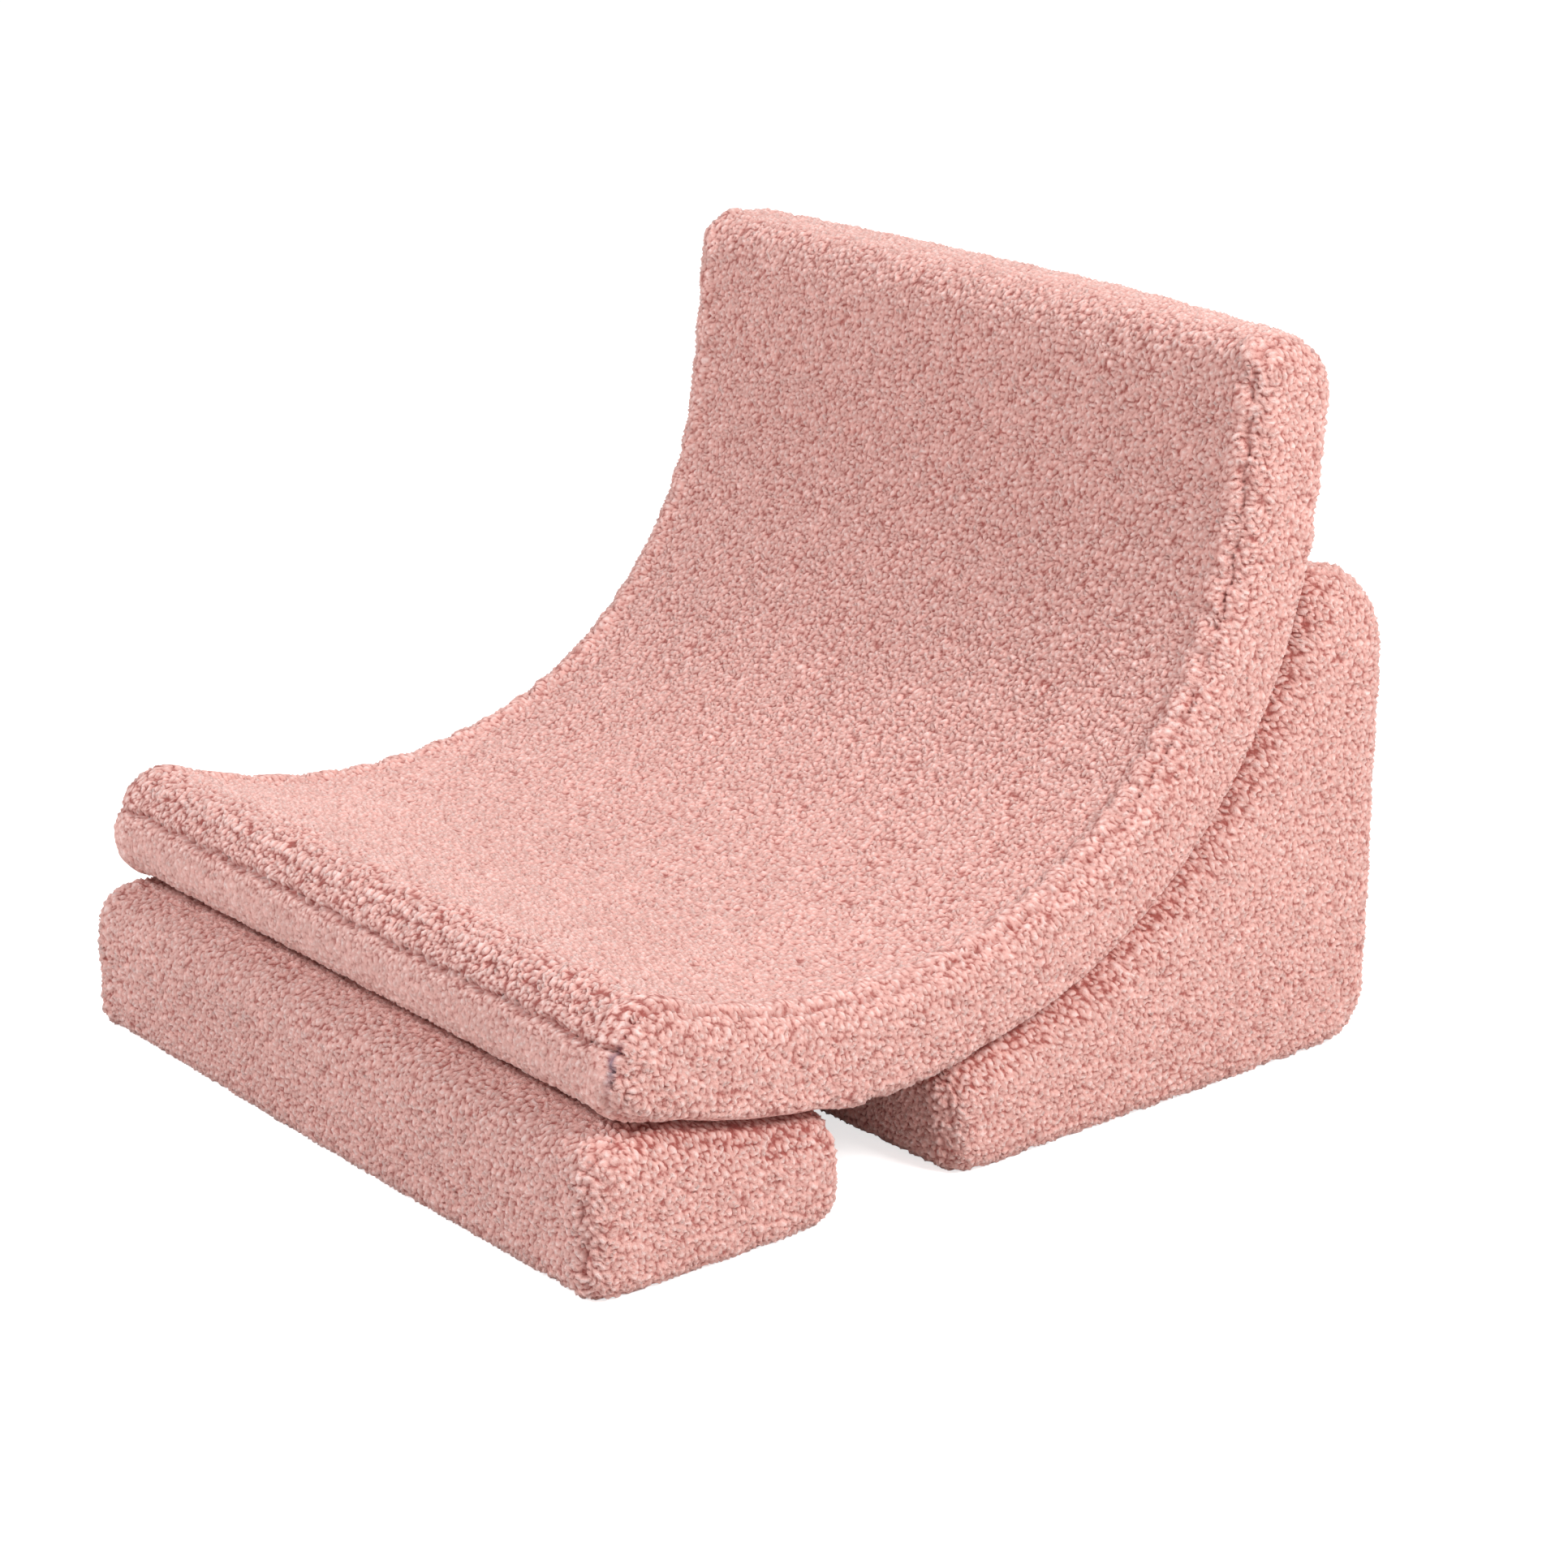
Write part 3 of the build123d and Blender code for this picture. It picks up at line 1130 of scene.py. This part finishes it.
    def held(self, points: np.ndarray, clear: np.ndarray) -> np.ndarray:
        """How free each point is to swell: not at all where it rests, is sewn or is zipped.

        Args:
            points: The points.
            clear: How far each is from the neighbours.

        Returns:
            From 0 where a point stays put to 1 where it is free.
        """
        x, y, z = self.zip_distance(points)
        from_zip = np.hypot(np.hypot(y, z), np.maximum(np.abs(x) - 0.25, 0))
        free = ramp(np.abs(self.side_distance(points)), 0.002, 0.14)
        free *= ramp(from_zip, 0.01, 0.09) * ramp(clear, 0.0005, 0.02) * ramp(points[:, 2], 0.002, 0.03)
        for seam in self.cross_seams:
            free *= ramp(np.hypot(points[:, 1] - seam.y, points[:, 2] - seam.z), 0.002, 0.12)
        return free

    def refine(self, made: bpy.types.Object, raised: np.ndarray) -> None:
        """Divides the faces that are off the floor, so that curls fit on them.

        Args:
            made: The cover.
            raised: For each vertex, whether it is off the floor.
        """
        bm = bmesh.new()
        bm.from_mesh(made.data)
        bm.verts.ensure_lookup_table()
        edges = [e for e in bm.edges if raised[e.verts[0].index] or raised[e.verts[1].index]]
        bmesh.ops.subdivide_edges(bm, edges=edges, cuts=self.cuts, use_grid_fill=True)
        bmesh.ops.triangulate(bm, faces=[f for f in bm.faces if len(f.verts) > 4])
        for face in bm.faces:
            face.smooth = True
        bm.to_mesh(made.data)
        bm.free()

    def evened(self, mesh: bpy.types.Mesh, rounds: int) -> np.ndarray:
        """Works out a smoother surface, and leaves the mesh as it is.

        Args:
            mesh: The mesh.
            rounds: How often each point moves halfway to the middle of those joined to it.

        Returns:
            Its points after that.
        """
        ends = np.empty(len(mesh.edges) * 2, np.int32)
        mesh.edges.foreach_get("vertices", ends)
        first, last = ends[0::2], ends[1::2]
        points = triples(mesh.vertices, "co").astype(np.float64)
        total = len(points)
        share = np.bincount(first, minlength=total) + np.bincount(last, minlength=total)
        for _ in range(rounds):
            mean = np.stack(
                [
                    np.bincount(first, points[last, k], total) + np.bincount(last, points[first, k], total)
                    for k in range(3)
                ],
                axis=1,
            )
            points = 0.5 * points + 0.5 * mean / share[:, None]
        return points.astype(np.float32)

    # Pile

    def curls(self, points: np.ndarray, rough: np.ndarray) -> tuple[np.ndarray, np.ndarray]:
        """Curls over the cover, larger along the side seams and where the pile is rougher.

        Args:
            points: The points.
            rough: More than 0.5 where the larger curls grow.

        Returns:
            Height and tone of the curls at each point.
        """
        wobble = 0.0012 * np.sin(points[:, [1, 2, 0]] * 410 + points[:, [2, 0, 1]] * 270)
        warped = (points + wobble).astype(np.float32)
        height, tone = CurlPattern(self.curl_size).grow(warped)
        zone = rough > 0.5
        larger = CurlPattern(self.seam_curl_size, stretch=1.2, seed=SEED + 1)
        height[zone], tone[zone] = larger.grow(warped[zone])
        return height, tone

    def openings(self, points: np.ndarray) -> np.ndarray:
        """How far the side seams stand open.

        Args:
            points: The points.

        Returns:
            From 0 where they are closed to 1 in the middle of a gap.
        """
        opened = np.zeros(len(points), np.float32)
        for x, y, z in self.gaps:
            far = np.hypot(points[:, 1] - y, points[:, 2] - z)
            same_side = np.sign(points[:, 0]) == np.sign(x)
            opened = np.maximum(opened, hill(far, self.gap_reach) * same_side)
        return opened

    def slotted(self, points: np.ndarray) -> tuple[np.ndarray, np.ndarray]:
        """Sinks the points over the zip to the floor of its slot.

        Args:
            points: The points.

        Returns:
            The points, and from 0 outside the slot to 1 in it.
        """
        x, y, z = self.zip_distance(points)
        slot = (1 - ramp(np.abs(y), 0.0054, self.slot_half)) * (1 - ramp(np.abs(x), 0.2485, 0.250))
        slot *= np.abs(z) < 0.02
        sink = (-self.slot_floor - z) * slot
        return points + np.array(self.zip.facing.value, np.float32) * sink[:, None], slot

    def add_pile(self, made: bpy.types.Object, tree: BVHTree) -> None:
        """Raises the curls, sinks the seams and the zip's slot, and stores what the finish reads, with the
        painted shade of grooves, slot and creases.

        Args:
            made: The refined cover.
            tree: The neighbours' surfaces.
        """
        mesh = made.data
        points = self.evened(mesh, 8)
        side = self.side_distance(points)
        soft = (1 - ramp(np.abs(side), 0.004, 0.024)) * (0.3 + 0.7 * ramp(points[:, 2], 0.005, 0.05))
        points += (self.evened(mesh, self.rounding) - points) * soft[:, None]
        move_points(mesh, points)
        normals = triples(mesh.vertices, "normal")
        clear = self.clearance(points, tree, self.tuck_reach)
        side = side + 0.0011 * np.sin(points[:, 1] * 260 + points[:, 2] * 190)
        rim = hill(np.abs(side) - 0.0088, 0.007) * np.where(side > 0, 1, 0.2)
        near = 1 - ramp(clear, 0.001, self.tuck_reach)
        front, flank = ramp(-points[:, 1], 0.31, 0.338), ramp(np.abs(points[:, 0]), 0.25, 0.28)
        points[:, 1] += self.tuck_front * near * front
        points[:, 0] -= np.sign(points[:, 0]) * self.tuck * near * flank
        crease = near * np.where(self.tuck_front, np.maximum(front, flank), flank) * (self.tuck > 0)
        for sign, y, z, inwards in self.eased:
            far = np.hypot(points[:, 1] - y, points[:, 2] - z)
            ease = (1 - ramp(far, 0.004, 0.042)) * ramp(points[:, 0] * sign, 0.08, 0.30)
            points[:, 1:] -= (0.7 * inwards * ease)[:, None]
            points[:, 0] -= sign * 0.5 * inwards * ease
            rim *= 1 - 0.8 * (1 - ramp(far, 0.015, 0.05))
        rim *= ramp(clear, 0.004, 0.016)
        ruffle = 0.7 * crease
        bulge = np.zeros(len(points), np.float32)
        inner = 1 - ramp(np.abs(points[:, 0]), 0.288, 0.296)
        for seam in self.cross_seams:
            run = seam.along(points)
            rougher = hill(run - 0.020, 0.02)
            rougher -= 0.8 * hill(run + 0.022, 0.016)
            ruffle += seam.ruffle * rougher * inner
            bulge += seam.bulge * hill(run, 0.034) * inner
        height, tone = self.curls(points, np.maximum(rim, 1.8 * ruffle))
        clump = np.sin(points @ np.array([61, 83, 47])) * np.sin(points @ np.array([-71, 52, 91]))
        heap = 0.8 + 0.3 * np.sin(points @ np.array([130, 190, 170])) + 0.2 * clump
        rise = (height - self.mean_height) * self.curl_height * (1 + 0.25 * rim + ruffle)
        rise += self.clump_height * clump
        rise += rim * heap * self.ridge + bulge + self.shrink + self.proud

        covered = 0.1 + 0.9 * ramp(tone, 0.35, 0.65)
        groove = hill(side, self.groove_width) * covered * self.stitch
        opened = self.openings(points)
        rise -= groove * (self.groove_depth + self.gap_depth * opened)
        across = np.abs(points[:, 0])
        for seam in self.cross_seams:
            wave = 0.0011 * np.sin(points[:, 0] * 130) + 0.0009 * np.sin(points[:, 0] * 410)
            line = seam.along(points) + wave
            here = hill(line, 0.0021) * (0.2 + 0.8 * covered)
            here *= ramp(across, seam.beyond - 0.001, seam.beyond) * (across < self.seam_x + 0.002)
            lips = hill(np.abs(line) - 0.0065, 0.004) * (across < self.seam_x)
            rise += lips * seam.lip * (across > seam.beyond) - here * seam.depth
            groove = np.maximum(groove, here * 0.8)

        lifted = ramp(points[:, 2], 0.0004, 0.0016)
        pressed = 1 - ramp(clear, 0.0004, 0.0030)
        rise *= lifted
        room = np.maximum(clear, across - self.overhang)
        rise = np.minimum(rise, (room - 0.9 * self.rest_gap) / 2)
        rise -= pressed * (1 - height) * self.hollows * lifted
        points, slot = self.slotted(points + normals * rise[:, None])
        points[:, 2] = np.maximum(points[:, 2], 0)
        move_points(mesh, points)
        # Painted shade: seam grooves, the zip's slot and the creases beside the neighbours, stored in the
        # seam attribute
        painted_shade = np.maximum(np.maximum(groove * 0.7, slot), 0.35 * crease**2 * (1 - pressed))
        # Painted shade: stronger colour contrast between the curls where the pile is rougher, so the
        # crevices read darker
        height = 0.56 + (height - 0.56) * (0.92 + ruffle)
        store(mesh, "curl", np.clip(height * lifted + 0.5 * (1 - lifted), 0, 1))
        store(mesh, "tuft", tone)
        store(mesh, "seam", np.clip(painted_shade, 0, 1))
        store(mesh, "backing", opened * hill(side, self.groove_width))

    def cover(self) -> None:
        """Makes the whole cover, from rough form to pile."""
        made = self.rough_form()
        tree = self.neighbour_tree()
        points = self.evened(made.data, 2)
        move_points(made.data, points)
        clear = self.clearance(points, tree, 0.02)
        free = self.held(points, clear)
        off_contact = ramp(np.minimum(clear, points[:, 2]), self.rest_gap, 0.004)
        points -= triples(made.data.vertices, "normal") * (self.shrink * off_contact)[:, None]
        move_points(made.data, points)
        self.swell(made, free)
        self.refine(made, points[:, 2] > 0.0015)
        self.add_pile(made, tree)
        PileFabric().put_on(made)
        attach(made, self.name)
        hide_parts(*[f"{self.name}_{panel}" for panel in self.panels])
        log.info("%s cover: %d faces", self.name, len(made.data.polygons))

    def foam(self) -> None:
        """Makes the foam core inside the cover, with soft corners."""
        node = f"{self.name}_foam_core"
        block = object_from(f"{self.name}_foam_block", merged_copy([node]))
        made = evenly_faced(block, self.foam_voxel)
        points = self.evened(made.data, 3)
        move_points(made.data, points)
        move_points(made.data, points - triples(made.data.vertices, "normal") * self.foam_play)
        CutFoam().put_on(made)
        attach(made, self.name)
        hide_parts(node)

    def build(self) -> None:
        """Builds the element: cover, foam and zip."""
        self.cover()
        self.foam()
        self.zip.build()
        log.info("%s built", self.name)


# The chair


@dataclass
class Chair:
    """The seat and its two supports, with the places that the CAD gives them."""

    seat_low: tuple[float, float] = (-0.111538, 0.0755)
    block_back: float = -0.146538
    wedge_back: float = 0.344038
    block_zip: float = 0.036
    wedge_zip: float = 0.060
    nose_seam: tuple[float, float] = (-0.3172, 0.1589)
    top_seam: tuple[float, float] = (0.2725, 0.5134)

    def support(self, name: str, back: float, height: float, **form: float) -> PaddedElement:
        """An element that the seat rests on, with its zip on its back.

        Args:
            name: Its name.
            back: Where its back is.
            height: How high its zip is.
            **form: What sets its cover apart.

        Returns:
            The element.
        """
        return PaddedElement(
            name,
            ("wrap_panel", "base_panel", "side_panel_left", "side_panel_right"),
            ("seat",),
            Zip(name, Facing.BACK, (0, back, height), ("lower", "upper")),
            (CrossSeam(back, height, 90, 0.255),),
            **form,
        )

    def elements(self) -> list[PaddedElement]:
        """The three padded elements.

        Returns:
            The seat, the block and the wedge.
        """
        low_y, low_z = self.seat_low
        seat = PaddedElement(
            "seat",
            ("inner_panel", "underside_panel", "rear_panel", "side_panel_left", "side_panel_right"),
            ("front_block", "back_wedge"),
            Zip("seat", Facing.DOWN, (0, low_y, low_z), ("front", "rear")),
            (
                CrossSeam(*self.nose_seam, 63.5, depth=0.005, lip=0.002, bulge=0.003, ruffle=0.28),
                CrossSeam(*self.top_seam, -45),
                CrossSeam(low_y, low_z, 0, 0.255),
            ),
            ((0.29, self.nose_seam[0], self.nose_seam[1] - 0.008), (0.29, *self.top_seam)),
            overhang=0.2915,
            eased=((1, 0.276, 0.520, 0.007), (-1, 0.276, 0.520, 0.001)),
        )
        block = self.support(
            "front_block",
            self.block_back,
            self.block_zip,
            ridge=0.0026,
            stitch=0.9,
            rounding=80,
            tuck=0.010,
            tuck_front=0.012,
            tuck_reach=0.034,
        )
        wedge = self.support(
            "back_wedge",
            self.wedge_back,
            self.wedge_zip,
            ridge=0.0022,
            stitch=0.35,
            rounding=90,
            tuck=0.016,
            tuck_reach=0.030,
        )
        return [seat, block, wedge]

    def build(self) -> None:
        """Builds all three in turn."""
        for element in self.elements():
            element.build()


# Studio


@dataclass
class Studio:
    """White floor, plain soft light from the camera's right, and the photograph's camera."""

    place: Triple = (1.9815, -1.5759, 1.0572)
    heading: float = 50.588
    pitch: float = 19.038
    lens: float = 87.3
    sky: float = 0.36

    def floor(self) -> None:
        """A wide white floor that the camera sees no end of."""
        bm = bmesh.new()
        bmesh.ops.create_grid(bm, x_segments=4, y_segments=4, size=6)
        bmesh.ops.translate(bm, verts=bm.verts, vec=(0, 0, -0.0002))
        made = object_from("studio_floor", bm)
        StudioWhite().put_on(made)

    def world(self) -> None:
        """Even light all round, which the camera sees as white."""
        world = bpy.data.worlds.new("studio")
        world.use_nodes = True
        tree = Tree(world.node_tree)
        shine = world.node_tree.nodes["Background"]
        strength = tree.math("MULTIPLY_ADD", tree.seen_directly(), 1 - self.sky, self.sky)
        tree.feed(shine, {"Strength": strength, "Color": (1, 1, 1, 1)})
        bpy.context.scene.world = world

    def lamp(self, name: str, place: Triple, aim: Triple, size: float, power: float, tint: Triple) -> None:
        """A square lamp aimed at a point.

        Args:
            name: Its name.
            place: Where it stands.
            aim: The point it is aimed at.
            size: Its width.
            power: Its power in watts.
            tint: Its colour.
        """
        data = bpy.data.lights.new(name, "AREA")
        data.shape = "SQUARE"
        data.size = size
        data.energy = power
        data.color = tint
        made = new_object(name, data)
        made.location = place
        made.rotation_euler = (Vector(aim) - Vector(place)).to_track_quat("-Z", "Y").to_euler()

    def camera(self) -> None:
        """The camera, from the fit to the photograph."""
        data = bpy.data.cameras.new("camera")
        data.lens = self.lens
        data.sensor_width = 36
        data.sensor_fit = "HORIZONTAL"
        made = new_object("camera", data)
        made.location = self.place
        made.rotation_euler = (math.radians(90 - self.pitch), 0, math.radians(self.heading))
        bpy.context.scene.camera = made

    def build(self) -> None:
        """Sets up the whole studio."""
        self.floor()
        self.world()
        middle = (0, 0, 0.2)
        self.lamp("key", (2.6, 0.6, 2.5), middle, 1.0, 90, (1, 0.985, 0.97))
        self.lamp("fill", (-0.9, -2.8, 2.9), middle, 1.2, 76, (0.965, 0.98, 1))
        self.lamp("back", (-1.6, 2.8, 2.0), middle, 1.4, 30, (1, 1, 1))
        self.camera()
        bpy.context.scene.view_settings.view_transform = "Standard"
        log.info("studio set")


def main() -> None:
    """Builds the studio and the chair."""
    Studio().build()
    Chair().build()


if __name__ == "__main__":
    main()
